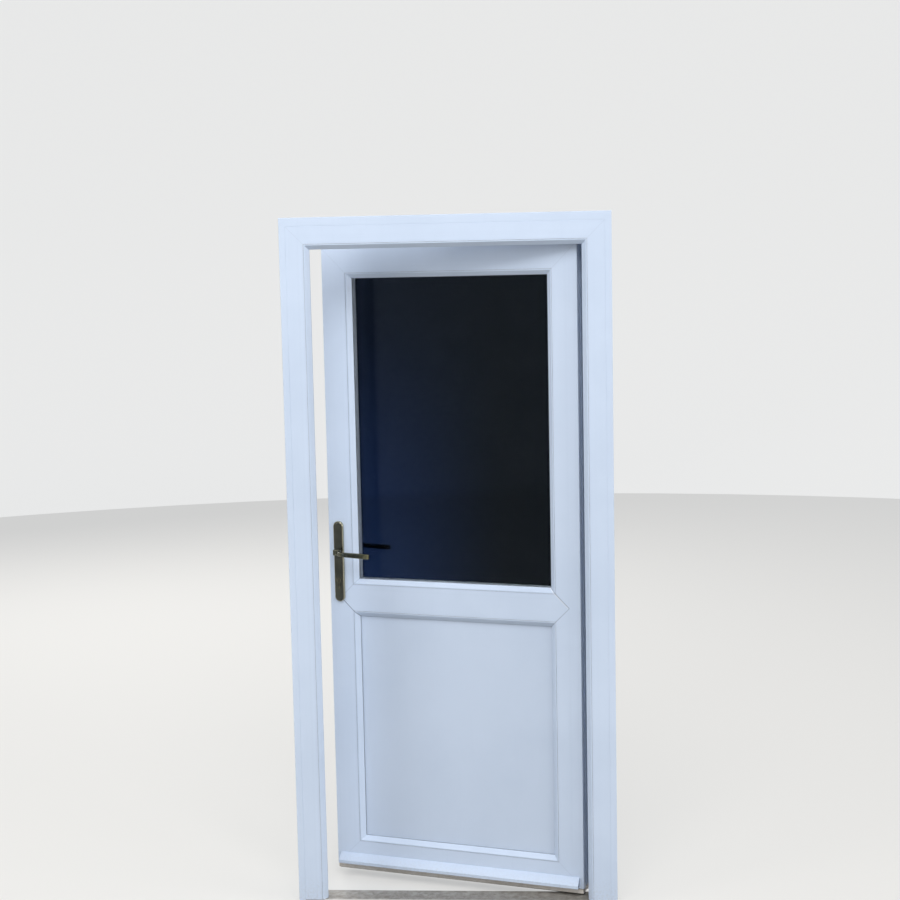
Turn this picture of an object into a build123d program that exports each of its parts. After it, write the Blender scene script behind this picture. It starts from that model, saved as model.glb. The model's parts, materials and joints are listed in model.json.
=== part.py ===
from build123d import *
import os

# Half glazed door leaf in its outer frame, hinged on the right and opening inwards.
# Sizes are in millimetres. X runs to the right seen from outside, Y inwards and Z up.
# The origin is the middle of the threshold's underside.
# Profiles are drawn as (u, v): u from the profile's back edge towards the opening,
# v inwards from the outer frame's outside face. The leaf is drawn shut and then swung.

# Outer frame
frame_width = 869.0
frame_top = 1922.0
frame_depth = 70.0
frame_face = 63.0
lip_reach = 20.0
lip_thick = 20.0
frame_bevel_width = 15.0
frame_bevel_depth = 14.0
frame_wall = 4.0
frame_edge_wall = 9.0
frame_nose = 24.0
chamber_shoulder = 1.5
frame_edge_radius = 1.0
frame_bevel_radius = 2.0
side_strip_width = 18.0
head_strip_width = 24.0
strip_depth = 60.0
strip_wall = 2.5
strip_radius = 1.5
strip_groove_radius = 0.9
tongue_inset = 12.0
tongue_depth = 4.5
tongue_thick = 3.4
threshold_height = 18.0
threshold_wall = 2.2
threshold_cells = 3
threshold_slope_width = 5.0
threshold_slope_height = 3.0
grip_count = 4
grip_start = 10.0
grip_spacing = 6.0
grip_width = 1.2
grip_depth = 0.8

# Leaf
open_angle = 15.5
leaf_depth = 70.0
leaf_gap = 6.0
lip_overlap = 8.0
flange_thick = 20.0
flange_overlap = 8.0
stile_sight = 88.0
mid_rail_sight = 110.0
mid_rail_height = 848.0
bevel_width = 16.0
bevel_depth = 12.0
quirk_depth = 1.5
quirk_width = 1.5
roll_width = 2.5
roll_drop = 0.5
bevel_radius = 1.0
glass_setback = 14.0
rebate_height = 20.0
leaf_wall = 4.0
leaf_web = 3.5
rebate_wall = 6.0
channel_wall = 3.0
foot_gap = 5.0
foot_strip_height = 15.0
foot_strip_inset = 2.0
foot_strip_radius = 2.0
sweep_inset = 14.0
sweep_thick = 1.8
sweep_root_width = 4.0
sweep_root_height = 3.7
edge_radius = 2.0
weld_width = 2.5
weld_depth = 0.3

# Edge groove that takes the lock
groove_centre = 53.5
groove_width = 16.0
groove_depth = 3.0
channel_width = 11.0
channel_depth = 9.0

# Glass, panel and what holds them
pane_thick = 4.0
unit_thick = 28.0
spacer_height = 9.0
spacer_wall = 1.0
glazing_clearance = 5.0
glazing_seal = 2.5
glazing_seal_width = 10.0
seal_slot_width = 4.0
seal_slot_depth = 2.5
seal_slot_inset = 4.0
bead_hook = 2.0
bead_hook_height = 4.0
bead_nose = 6.0
bead_radius = 2.0
bead_wall = 3.0
bead_nose_wall = 1.0
packer_length = 90.0

# Seals between leaf and frame
bulb_width = 5.0
bulb_height = 5.6
bulb_stem = 2.5
bulb_radius = 2.0
bulb_wall = 1.2

# Steel inside the profiles
steel_thick = 2.0
steel_setback = 14.0
steel_end_gap = 4.0

# Weather bar
bar_height = 27.0
bar_reach = 23.0
bar_nose = 9.0
bar_wall = 2.0
bar_inset = 12.0
bar_lift = 7.0
bar_crown = 2.2

# Hinges
lower_hinge_inset = 222.0
middle_hinge_height = 1010.0
upper_hinge_inset = 227.0
hinge_length = 100.0
knuckle_radius = 8.0
knuckle_rise = 12.0
middle_knuckle = 46.0
knuckle_gap = 1.0
pin_radius = 4.0
pin_end_gap = 1.0
bush_radius = 6.0
bush_flange = 0.9
cap_thick = 3.0
cap_chamfer = 1.0
plate_thick = 4.0
flag_width = 56.0
flag_screw_inset = 12.0
bracket_width = 30.0
bracket_web = 12.0
bracket_gap = 2.0
bracket_screw_inset = 9.0
hinge_screw_inset = 12.0

# Lock
lock_inset = 32.0
spindle_height = 984.0
cylinder_drop = 85.0
spindle_size = 8.0
follower_radius = 10.0
case_thick = 15.0
case_front = 6.5
case_back = 54.0
case_below = 120.0
case_above = 64.0
faceplate_foot_inset = 222.0
faceplate_head_inset = 227.0
faceplate_screw_inset = 14.0
faceplate_screw_drop = 2.0
latch_height = 24.0
latch_thick = 12.0
latch_throw = 11.0
latch_rise = 34.0
latch_length = 38.0
latch_shoulder = 0.5
latch_tip_thick = 2.5
bolt_height = 26.0
bolt_thick = 10.0
bolt_throw = 18.0
bolt_drop = 48.0
bolt_length = 42.0
rail_thick = 2.6
rail_width = 9.0
rail_throw = 15.0
rail_end_gap = 40.0
locking_pin_inset = 140.0
locking_pin_radius = 3.5
locking_head_radius = 6.0
locking_head_thick = 3.0
locking_pin_reach = 9.0

# Keeps on the frame
keep_height = 7.0
keep_depth = 22.0
keep_margin = 20.0
keep_chamfer = 1.0
keep_base = 2.5
keep_lip = 4.0
keep_lip_length = 22.0
keep_lip_start = 8.0
keep_lip_height = 8.0
keep_front = 4.0

# Handles and cylinder
handle_length = 238.0
handle_width = 30.0
handle_thick = 8.0
handle_rise = 90.0
handle_edge = 3.0
handle_screw_inset = 15.0
post_radius = 3.8
post_length = 18.0
post_root = 2.0
spindle_inset = 6.0
spindle_socket_inset = 5.0
hub_radius = 9.0
hub_width = 22.0
hub_height = 17.0
hub_front = 24.0
hub_corner = 2.5
hub_edge = 1.5
lever_length = 114.0
lever_stand_off = 50.0
lever_thick = 10.0
lever_height = 12.5
lever_tip_thick = 12.0
lever_tip_height = 15.0
lever_droop = 3.5
lever_corner = 3.5
lever_bend_radius = 16.0
lever_tip_radius = 2.5
neck_inset = 1.0
neck_offset = 2.0
cylinder_radius = 8.5
cylinder_stem = 10.0
cylinder_total = 33.0
cylinder_proud = 1.5
cylinder_foot_radius = 3.0
plug_radius = 6.5
keyway_width = 1.6
keyway_height = 9.0
keyway_depth = 10.0
cam_width = 9.0
cam_reach = 15.0
cam_thick = 7.0

# Fasteners and fixing holes
screw_radius = 2.0
screw_head_radius = 4.0
screw_head_depth = 2.5
screw_length = 30.0
faceplate_screw_length = 18.0
threshold_screw_length = 45.0
threshold_screw_inset = 20.0
threshold_screw_setback = 46.0
cylinder_screw_drop = 17.5
cylinder_screw_past = 6.0
handle_screw_gap = 4.0
fixing_radius = 5.0
fixing_depth = 32.0
fixing_count = 4
fixing_low = 250.0
fixing_head_inset = 172.0

# Clearances
slide_clearance = 0.2
running_clearance = 0.05
seat_clearance = 0.3
cylinder_clearance = 0.3
cylinder_hole_clearance = 0.8
hub_hole_clearance = 2.0
hub_gap = 0.5
keep_clearance = 1.0
pin_keep_clearance = 0.5
bolt_end_clearance = 1.5
bolt_back_clearance = 1.0
rail_end_clearance = 1.0
cam_side_clearance = 0.5
cam_end_clearance = 1.0

# How far a cut runs past the face that it opens
overcut = 1.0

# Lines that the pieces share
outside = -frame_depth / 2
jamb_line = frame_width / 2
lip_line = jamb_line - frame_face
body_reach = frame_face - lip_reach
leaf_edge = lip_line + lip_overlap
leaf_top = frame_top - frame_face + lip_overlap
leaf_foot = threshold_height + foot_gap + foot_strip_height
leaf_front = lip_thick + leaf_gap
leaf_back = leaf_front + leaf_depth
flange_front = leaf_back - flange_thick
flange_reach = lip_reach - lip_overlap + flange_overlap
sight_line = leaf_edge - stile_sight
rebate_line = stile_sight - rebate_height
rebate_front = leaf_front + glass_setback
glass_front = rebate_front + glazing_seal
glass_back = glass_front + unit_thick
half_rail = mid_rail_sight / 2
glass_low = mid_rail_height + half_rail
glass_high = leaf_top - stile_sight
panel_low = leaf_foot + stile_sight
panel_high = mid_rail_height - half_rail
chamber_end = rebate_line - rebate_wall
chamber_start = channel_depth + channel_wall
chamber_split = flange_front - leaf_web
pin_x = leaf_edge + flange_reach + knuckle_radius
pin_v = leaf_back + knuckle_rise
hinge_heights = (leaf_foot + lower_hinge_inset, middle_hinge_height,
                 leaf_top - upper_hinge_inset)
faceplate_low = leaf_foot + faceplate_foot_inset
faceplate_high = leaf_top - faceplate_head_inset
locking_pin_heights = (faceplate_low + locking_pin_inset, faceplate_high - locking_pin_inset)
fixing_spacing = (frame_top - fixing_head_inset - fixing_low) / (fixing_count - 1)
fixing_heights = [fixing_low + fixing_spacing * step for step in range(fixing_count)]
lock_x = -leaf_edge + lock_inset
cylinder_height = spindle_height - cylinder_drop
latch_middle = spindle_height + latch_rise
bolt_middle = spindle_height - bolt_drop
case_low = spindle_height - case_below
case_high = spindle_height + case_above
handle_top = spindle_height + handle_rise
handle_middle = handle_top - handle_length / 2
handle_screws = (handle_top - handle_screw_inset, handle_top - handle_length + handle_screw_inset)
hinge_axis = Axis((pin_x, outside + pin_v, 0), (0, 0, 1))
through = 4 * leaf_depth


# Drawing helpers

def outline(*points):
    return Polygon(*points, align=None)


def rectangle(u_low, u_high, v_low, v_high):
    return outline((u_low, v_low), (u_high, v_low), (u_high, v_high), (u_low, v_high))


def rounded(section, *corners):
    """Round the corners of a section that lie at the given (u, v, radius)."""
    for u, v, radius in corners:
        corner = section.vertices().sort_by_distance((u, v, 0))[0]
        section = fillet(corner, radius)
    return section


def block(x_low, x_high, v_low, v_high, z_low, z_high):
    size = (x_high - x_low, v_high - v_low, z_high - z_low)
    return Pos(x_low, outside + v_low, z_low) * Box(*size, align=Align.MIN)


def rod(radius, start, end):
    """A round bar between two points given as (x, v, z)."""
    low = Vector(start[0], outside + start[1], start[2])
    high = Vector(end[0], outside + end[1], end[2])
    bar = Cylinder(radius, (high - low).length, align=(Align.CENTER, Align.CENTER, Align.MIN))
    return Plane(low, z_dir=high - low) * bar


def prism(section, z_low, z_high):
    """A section drawn in (x, v) and raised between two heights."""
    return Pos(0, outside, z_low) * extrude(section, z_high - z_low, dir=(0, 0, 1))


def screw(start, direction, length=screw_length):
    """A countersunk screw: start is the middle of its head's face, direction where it points."""
    place = Plane((start[0], outside + start[1], start[2]), z_dir=direction)
    bottom = (Align.CENTER, Align.CENTER, Align.MIN)
    head = Cone(screw_head_radius, screw_radius, screw_head_depth, align=bottom)
    shank = Cylinder(screw_radius, length, align=bottom)
    return place * (head + shank)


def side_place(side, half_width, bottom, top):
    """The plane of one side of a rectangle: local X is u, local Y is v, local Z runs along it."""
    if side == "left":
        return Plane((-half_width, outside, bottom), x_dir=(1, 0, 0), z_dir=(0, 0, 1))
    if side == "top":
        return Plane((-half_width, outside, top), x_dir=(0, 0, -1), z_dir=(1, 0, 0))
    if side == "right":
        return Plane((half_width, outside, top), x_dir=(-1, 0, 0), z_dir=(0, 0, -1))
    return Plane((half_width, outside, bottom), x_dir=(0, 0, 1), z_dir=(-1, 0, 0))


def side_length(side, half_width, bottom, top):
    return 2 * half_width if side in ("top", "bottom") else top - bottom


def mitred_bar(section, side, half_width, bottom, top, slope=1.0, open_foot=False):
    """A profile along one side of a rectangle, mitred to its neighbours.
    open_foot leaves an upright square at the bottom."""
    length = side_length(side, half_width, bottom, top)
    low = section.bounding_box().min.X
    high = section.bounding_box().max.X
    start = 0.0 if open_foot and side == "left" else slope
    end = 0.0 if open_foot and side == "right" else slope
    spare = max(0.0, -low) * slope
    bar = extrude(Pos(0, 0, -spare) * section, length + 2 * spare, dir=(0, 0, 1))
    cut = outline((low, low * start), (high, high * start),
                  (high, length - high * end), (low, length - low * end))
    mask = extrude(Plane.XZ * cut, through, both=True)
    return side_place(side, half_width, bottom, top) * (bar & mask)


def mitred_ring(section, half_width, bottom, top):
    sides = [mitred_bar(section, side, half_width, bottom, top)
             for side in ("left", "top", "right", "bottom")]
    return sides[0] + sides[1:]


def three_sides(section, half_width, bottom, top):
    sides = [mitred_bar(section, side, half_width, bottom, top, open_foot=True)
             for side in ("left", "top", "right")]
    return sides[0] + sides[1:]


def square_bar(section, side, half_width, bottom, top, start_inset, end_inset):
    """A profile along one side of a rectangle, cut square short of the corners."""
    length = side_length(side, half_width, bottom, top) - start_inset - end_inset
    bar = extrude(Pos(0, 0, start_inset) * section, length, dir=(0, 0, 1))
    return side_place(side, half_width, bottom, top) * bar


# Outer frame

def frame_section():
    """A hollow profile with a lip on its outside and a quirked bevel towards the opening."""
    bevel_start = frame_face - frame_bevel_width
    slot = seal_slot_inset + seal_slot_width
    tongue = tongue_thick / 2 + slide_clearance
    section = outline((0, 0), *quirk(bevel_start, 0), (frame_face, frame_bevel_depth),
                      (frame_face, lip_thick), (body_reach, lip_thick),
                      (body_reach, frame_depth), (0, frame_depth))
    section = rounded(section, (frame_face, frame_bevel_depth, frame_bevel_radius),
                      (0, 0, frame_edge_radius))
    section -= rectangle(frame_face - slot, frame_face - seal_slot_inset,
                         lip_thick - seal_slot_depth - slide_clearance, lip_thick)
    for v in tongue_places():
        section -= rectangle(0, tongue_depth + slide_clearance, v - tongue, v + tongue)
    return section - frame_chamber(0)


def quirk(start, face):
    """The points where a face ends: a narrow groove, then a flat roll that the bevel falls from."""
    groove = start + quirk_width
    return [(start, face), (start, face + quirk_depth), (groove, face + quirk_depth),
            (groove, face + roll_drop), (groove + roll_width, face + roll_drop)]


def frame_chamber(clearance):
    """The chamber that takes the steel, shrunk by a clearance."""
    return rectangle(tongue_depth + chamber_shoulder + clearance,
                     body_reach - frame_edge_wall - clearance, frame_nose + clearance,
                     frame_depth - frame_wall - clearance)


def tongue_places():
    return (tongue_inset, strip_depth - tongue_inset)


def outer_frame():
    frame = three_sides(frame_section(), jamb_line, threshold_height, frame_top)
    return frame - fixing_holes() - bolt_pocket(seat_clearance) - frame_grooves()


def weld_groove(start, end, face):
    """The shallow groove where a weld was cleaned off a face, from one (x, z) to another.
    It runs out past its end, over the edge of the face."""
    low = Vector(start[0], outside + face, start[1])
    high = Vector(end[0], outside + face, end[1])
    place = Plane(low, x_dir=high - low, z_dir=(0, 1, 0))
    sides = (Align.MIN, Align.CENTER, Align.CENTER)
    return place * Box((high - low).length + weld_width, weld_width, 2 * weld_depth, align=sides)


def corner_groove(side, way, corner, start, end, face):
    """A mitre's groove: side and way are -1 or 1, corner is the (half width, height) it leaves."""
    half_width, height = corner
    return weld_groove((side * (half_width - start), height - way * start),
                       (side * (half_width - end), height - way * end), face)


def frame_grooves():
    corner = (jamb_line, frame_top)
    start = frame_edge_radius + weld_width
    grooves = []
    for side in (-1, 1):
        front_end = frame_face - frame_bevel_width
        grooves.append(corner_groove(side, 1, corner, start, front_end, 0))
        grooves.append(corner_groove(side, 1, corner, start, body_reach, frame_depth))
    return grooves


def fixing_holes():
    """Holes through both jambs, their steel and the side strips for screws into the wall."""
    holes = []
    for height in fixing_heights:
        reach = jamb_line + 2 * side_strip_width
        holes.append(rod(fixing_radius, (-reach, fixing_depth, height),
                         (-lip_line, fixing_depth, height)))
        holes.append(rod(fixing_radius, (lip_line, fixing_depth, height),
                         (reach, fixing_depth, height)))
    return Part() + holes


def bolt_pocket(clearance):
    """The pocket in the lock jamb that the thrown deadbolt goes into."""
    surface = -jamb_line + body_reach
    tip = -leaf_edge - bolt_throw - bolt_end_clearance
    half_height = bolt_height / 2 + keep_clearance + clearance
    half_thick = bolt_thick / 2 + keep_clearance + clearance
    return block(tip, surface + keep_height + overcut, groove_centre - half_thick,
                 groove_centre + half_thick, bolt_middle - half_height, bolt_middle + half_height)


def frame_steel(side):
    section = frame_chamber(seat_clearance)
    section -= frame_chamber(seat_clearance + steel_thick)
    corner = body_reach - frame_edge_wall + steel_end_gap
    foot = seat_clearance
    start = foot if side == "left" else corner
    end = foot if side == "right" else corner
    bar = square_bar(section, side, jamb_line, threshold_height, frame_top, start, end)
    return bar - fixing_holes()


def strip(side):
    """A frame extension: a hollow strip with tongues that clip into the frame's back."""
    width = head_strip_width if side == "top" else side_strip_width
    other = side_strip_width if side == "top" else head_strip_width
    section = rectangle(0, width, 0, strip_depth)
    section = rounded(section, (0, 0, strip_radius), (width, 0, strip_groove_radius))
    section -= rectangle(strip_wall, width - strip_wall, strip_wall, strip_depth - strip_wall)
    for v in tongue_places():
        section += rectangle(width, width + tongue_depth, v - tongue_thick / 2,
                             v + tongue_thick / 2)
    half_width = jamb_line + side_strip_width
    top = frame_top + head_strip_width
    bar = mitred_bar(section, side, half_width, 0, top, slope=other / width, open_foot=True)
    if side != "top":
        bar -= block(-jamb_line, jamb_line, 0, strip_depth, -overcut, threshold_height)
    return bar - fixing_holes()


def bulb_section(u, v, height):
    """A push-in seal: a stem in its slot and a bulb that stands out of it."""
    half_slot = seal_slot_width / 2 - slide_clearance
    stem = rectangle(u - half_slot, u + half_slot, v - bulb_stem, v)
    bulb = rectangle(u - bulb_width / 2, u + bulb_width / 2, v, v + height)
    bulb = rounded(bulb, (u - bulb_width / 2, v + height, bulb_radius),
                   (u + bulb_width / 2, v + height, bulb_radius))
    return stem + bulb - Pos(u, v + height / 2) * Circle(bulb_width / 2 - bulb_wall)


def frame_seal():
    u = frame_face - seal_slot_inset - seal_slot_width / 2
    section = bulb_section(u, lip_thick, bulb_height)
    return three_sides(section, jamb_line, threshold_height, frame_top)


def threshold():
    """A low hollow extrusion with a sloping front edge and grip grooves."""
    front = outside
    back = outside + frame_depth
    top = threshold_height
    section = outline((front, 0), (back, 0), (back, top), (front + threshold_slope_width, top),
                      (front, top - threshold_slope_height))
    span = (frame_depth - (threshold_cells + 1) * threshold_wall) / threshold_cells
    for cell in range(threshold_cells):
        low = front + threshold_wall + cell * (span + threshold_wall)
        section -= rectangle(low, low + span, threshold_wall, top - threshold_wall - grip_depth)
    for groove in range(grip_count):
        low = front + grip_start + groove * grip_spacing
        section -= rectangle(low, low + grip_width, top - grip_depth, top)
    return extrude(Plane.YZ * section, jamb_line, both=True)


def threshold_screws():
    """Screws up through the threshold into the solid parts of the jamb feet."""
    places = ((threshold_screw_inset, frame_nose / 2),
              (body_reach - frame_edge_wall / 2, threshold_screw_setback))
    screws = []
    for side in (-1, 1):
        for u, v in places:
            place = (side * (jamb_line - u), v, 0)
            screws.append(screw(place, (0, 0, 1), threshold_screw_length))
    return screws


# Leaf

def glazed_edge(sight):
    """The points of a profile's glazed edge, from its face round to its inner side."""
    slot = sight - seal_slot_inset
    rebate = sight - rebate_height
    hook_low = leaf_back - bead_hook_height * 2
    return [*quirk(sight - bevel_width, leaf_front), (sight, leaf_front + bevel_depth),
            (sight, rebate_front), (slot, rebate_front),
            (slot, rebate_front - seal_slot_depth),
            (slot - seal_slot_width, rebate_front - seal_slot_depth),
            (slot - seal_slot_width, rebate_front), (rebate, rebate_front),
            (rebate, hook_low), (rebate - bead_hook, hook_low),
            (rebate - bead_hook, hook_low + bead_hook_height),
            (rebate, hook_low + bead_hook_height), (rebate, leaf_back)]


def chambers(low, high):
    """The steel's chamber and the one behind it."""
    main = rectangle(low, high, leaf_front + leaf_wall, chamber_split)
    rear = rectangle(low, high, flange_front, leaf_back - leaf_web)
    return main + rear


def leaf_section():
    slot = -flange_reach + seal_slot_inset
    half_seat = groove_width / 2
    half_channel = channel_width / 2
    points = [(0, leaf_front)] + glazed_edge(stile_sight)
    points += [(-flange_reach, leaf_back), (-flange_reach, flange_front),
               (slot, flange_front), (slot, flange_front + seal_slot_depth + slide_clearance),
               (slot + seal_slot_width, flange_front + seal_slot_depth + slide_clearance),
               (slot + seal_slot_width, flange_front), (0, flange_front)]
    section = outline(*points)
    section = rounded(section, (0, leaf_front, edge_radius),
                      (stile_sight, leaf_front + bevel_depth, bevel_radius),
                      (-flange_reach, leaf_back, edge_radius))
    section -= rectangle(-overcut, groove_depth, groove_centre - half_seat,
                         groove_centre + half_seat)
    section -= rectangle(0, channel_depth, groove_centre - half_channel,
                         groove_centre + half_channel)
    return section - chambers(chamber_start, chamber_end)


def mid_rail_section():
    half = glazed_edge(half_rail)
    mirrored = [(-u, v) for u, v in reversed(half)]
    section = outline(*half, *mirrored)
    wall = stile_sight - chamber_end
    return section - chambers(-half_rail + wall, half_rail - wall)


def leaf_frame():
    """The welded leaf: four mitred profiles, and a mid rail let into the stiles by its points."""
    ring = mitred_ring(leaf_section(), leaf_edge, leaf_foot, leaf_top)
    foot = leaf_foot - 2 * flange_reach
    ring -= block(-2 * leaf_edge, 2 * leaf_edge, 0, 2 * leaf_back, foot, leaf_foot)
    place = side_place("bottom", leaf_edge, mid_rail_height, leaf_top)
    length = 2 * leaf_edge
    tip = stile_sight - half_rail
    points = outline((0, tip), (half_rail, stile_sight), (half_rail, length - stile_sight),
                     (0, length - tip), (-half_rail, length - stile_sight),
                     (-half_rail, stile_sight))
    mask = place * extrude(Plane.XZ * points, through, both=True)
    rail = place * extrude(mid_rail_section(), length, dir=(0, 0, 1))
    return (ring - mask) + (rail & mask) - lock_cuts() - leaf_grooves()


def leaf_grooves():
    """The welds' grooves on both faces: four mitres, and two lines at each end of the rail."""
    flat = stile_sight - bevel_width
    tip = stile_sight - half_rail
    start = edge_radius + weld_width
    grooves = []
    for face in (leaf_front, leaf_back):
        for side in (-1, 1):
            for way, height in ((-1, leaf_foot), (1, leaf_top)):
                grooves.append(corner_groove(side, way, (leaf_edge, height), start, flat, face))
                grooves.append(weld_groove((side * (leaf_edge - tip), mid_rail_height),
                                           (side * (leaf_edge - flat),
                                            mid_rail_height + way * (flat - tip)), face))
    return grooves


def leaf_steel_section(low, high):
    """A channel that lies in the main chamber, open towards the leaf's edge."""
    front = leaf_front + leaf_wall + seat_clearance
    back = chamber_split - seat_clearance
    section = rectangle(low, high, front, back)
    return section - rectangle(low - overcut, high - steel_thick, front + steel_thick,
                               back - steel_thick)


def leaf_steel(side):
    section = leaf_steel_section(steel_setback, chamber_end - seat_clearance)
    inset = chamber_end + steel_end_gap
    bar = square_bar(section, side, leaf_edge, leaf_foot, leaf_top, inset, inset)
    return bar - lock_cuts() if side == "left" else bar


def mid_rail_steel():
    reach = half_rail - (stile_sight - chamber_end) - seat_clearance
    section = leaf_steel_section(-reach, reach)
    inset = chamber_end + steel_end_gap
    return square_bar(section, "bottom", leaf_edge, mid_rail_height, leaf_top, inset, inset)


def leaf_seal():
    u = -flange_reach + seal_slot_inset + seal_slot_width / 2
    section = mirror(bulb_section(u, -flange_front, bulb_height), about=Plane.XZ)
    return three_sides(section, leaf_edge, leaf_foot, leaf_top)


def lock_cuts():
    """What the lock, the handles and the cylinder need cut through the lock stile."""
    front, back = leaf_front - overcut, leaf_back + overcut
    cuts = rod(hub_radius + hub_hole_clearance, (lock_x, front, spindle_height),
               (lock_x, back, spindle_height))
    cuts += euro_prism(cylinder_hole_clearance, front, back)
    for height in handle_screws:
        cuts += rod(post_radius + seat_clearance, (lock_x, front, height),
                    (lock_x, back, height))
    edge = -leaf_edge
    half_case = case_thick / 2 + seat_clearance
    cuts += block(edge - overcut, edge + case_back + seat_clearance, groove_centre - half_case,
                  groove_centre + half_case, case_low - seat_clearance,
                  case_high + seat_clearance)
    return cuts


def foot_strip():
    """The hollow strip under the bottom rail, with two slots that hold the sweep seals."""
    low = leaf_foot - foot_strip_height
    front = leaf_front + foot_strip_inset
    back = leaf_back - foot_strip_inset
    edge = leaf_edge - foot_strip_inset
    section = rectangle(front, back, low, leaf_foot)
    section = rounded(section, (front, low, foot_strip_radius), (back, low, foot_strip_radius))
    third = (back - front) / 3
    for cell in (0, 2):
        start = front + cell * third + strip_wall
        section -= rectangle(start, start + third - 2 * strip_wall,
                             low + sweep_root_height + seat_clearance + strip_wall,
                             leaf_foot - strip_wall)
    half_root = sweep_root_width / 2 + slide_clearance
    for v in sweep_places():
        section -= rectangle(v - half_root, v + half_root, low,
                             low + sweep_root_height + seat_clearance)
    return extrude(Plane.YZ * (Pos(outside, 0) * section), edge, both=True)


def sweep_places():
    return (leaf_front + sweep_inset, leaf_back - sweep_inset)


def sweep_seals():
    """Two blades that close the gap down to the threshold."""
    low = leaf_foot - foot_strip_height
    edge = leaf_edge - foot_strip_inset
    seals = []
    for v in sweep_places():
        section = rectangle(v - sweep_root_width / 2, v + sweep_root_width / 2, low,
                            low + sweep_root_height)
        section += rectangle(v - sweep_thick / 2, v + sweep_thick / 2,
                             threshold_height + seat_clearance, low)
        seals.append(extrude(Plane.YZ * (Pos(outside, 0) * section), edge, both=True))
    return seals


def weather_bar():
    """The hollow deflector along the foot of the leaf's face, open at its ends."""
    foot = leaf_foot + bar_lift
    face = leaf_front
    nose = face - bar_reach
    top = foot + bar_height
    middle = (nose + face) / 2
    slope = (top + foot + bar_nose) / 2 + bar_crown
    back = Line((face, foot), (face, top))
    crest = Line((face, top), (face - bar_wall, top))
    curve = ThreePointArc((face - bar_wall, top), (middle, slope), (nose, foot + bar_nose))
    front = Line((nose, foot + bar_nose), (nose, foot))
    under = Line((nose, foot), (face, foot))
    section = make_face([back, crest, curve, front, under])
    shelf = foot + bar_nose - bar_wall
    upper = outline((face - bar_wall, shelf + bar_wall), (nose + 3 * bar_wall, shelf + bar_wall),
                    (face - bar_wall, top - 2 * bar_wall))
    lower = rectangle(nose + bar_wall, face - bar_wall, foot + bar_wall, shelf)
    section = section - upper - lower
    half_length = leaf_edge - bar_inset
    return extrude(Plane.YZ * (Pos(outside, 0) * section), half_length, both=True)


# Glass, panel, seals and beads

def sheet(low, high, v_low, v_high):
    """A flat sheet that fills an opening and reaches into its rebate."""
    reach = rebate_height - glazing_clearance
    return block(-sight_line - reach, sight_line + reach, v_low, v_high, low - reach,
                 high + reach)


def spacer_bar():
    section = rectangle(-spacer_height, 0, glass_front + pane_thick, glass_back - pane_thick)
    section -= rectangle(-spacer_height + spacer_wall, -spacer_wall,
                         glass_front + pane_thick + spacer_wall,
                         glass_back - pane_thick - spacer_wall)
    return mitred_ring(section, sight_line, glass_low, glass_high)


def unit_sealant():
    """The dark sealant outside the spacer, flush with the edges of the panes."""
    section = rectangle(-(rebate_height - glazing_clearance), -spacer_height,
                        glass_front + pane_thick, glass_back - pane_thick)
    return mitred_ring(section, sight_line, glass_low, glass_high)


def glazing_seal_ring(low, high):
    """The seal between the rebate and the outside of the glass or panel."""
    middle = -seal_slot_inset - seal_slot_width / 2
    half_slot = seal_slot_width / 2 - slide_clearance
    section = rectangle(-glazing_seal_width, 0, rebate_front, glass_front)
    section += rectangle(middle - half_slot, middle + half_slot,
                         rebate_front - seal_slot_depth + slide_clearance, rebate_front)
    return mitred_ring(section, sight_line, low, high)


def beads(low, high):
    """Four beads pressed in from inside: their hooks lie in the rebate's slot."""
    rebate = -rebate_height + slide_clearance
    hook_low = leaf_back - bead_hook_height * 2 + slide_clearance
    hook_high = hook_low + bead_hook_height - 2 * slide_clearance
    section = outline((rebate, glass_back), (0, glass_back), (0, glass_back + bead_nose),
                      (-bead_nose, leaf_back), (rebate, leaf_back), (rebate, hook_high),
                      (rebate - bead_hook, hook_high), (rebate - bead_hook, hook_low),
                      (rebate, hook_low))
    section = rounded(section, (0, glass_back + bead_nose, bead_radius),
                      (-bead_nose, leaf_back, bead_radius))
    section -= rectangle(rebate + bead_wall, -bead_nose - bead_nose_wall,
                         glass_back + bead_wall, leaf_back - bead_wall)
    return [mitred_bar(section, side, sight_line, low, high)
            for side in ("left", "top", "right", "bottom")]


def packers(low, high):
    """Flat packers in the rebate: two below, two each side and one above."""
    reach = rebate_height - glazing_clearance
    inner, outer = reach, rebate_height
    front, back = glass_front, glass_back
    half = packer_length / 2
    places = sight_line / 2
    sixth = (high - low) / 6
    pieces = []
    for x in (-places, places):
        pieces.append(block(x - half, x + half, front, back, low - outer, low - inner))
    pieces.append(block(-half, half, front, back, high + inner, high + outer))
    for z in (low + sixth, high - sixth):
        pieces.append(block(-sight_line - outer, -sight_line - inner, front, back,
                            z - half, z + half))
        pieces.append(block(sight_line + inner, sight_line + outer, front, back,
                            z - half, z + half))
    return pieces


# Hinges

def knuckle(z_low, z_high, radius=knuckle_radius):
    return rod(radius, (pin_x, pin_v, z_low), (pin_x, pin_v, z_high))


def hinge_spans(height):
    """The heights of the lower and upper leaf knuckles round the frame's middle one."""
    half = hinge_length / 2
    gap = middle_knuckle / 2 + knuckle_gap
    return ((height - half, height - gap), (height + gap, height + half))


def hinge_bracket(height):
    """The frame's half: a plate on the frame and a web that carries the middle knuckle."""
    half = hinge_length / 2
    inner = leaf_edge + flange_reach + bracket_gap
    back = frame_depth
    plate = block(inner, inner + bracket_width, back, back + plate_thick, height - half,
                  height + half)
    reach = middle_knuckle / 2
    web = block(pin_x - bracket_web / 2, pin_x + bracket_web / 2, back, pin_v, height - reach,
                height + reach)
    body = plate + web + knuckle(height - reach, height + reach)
    return body - knuckle(height - half, height + half, pin_radius) - bracket_screws(height)


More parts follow.
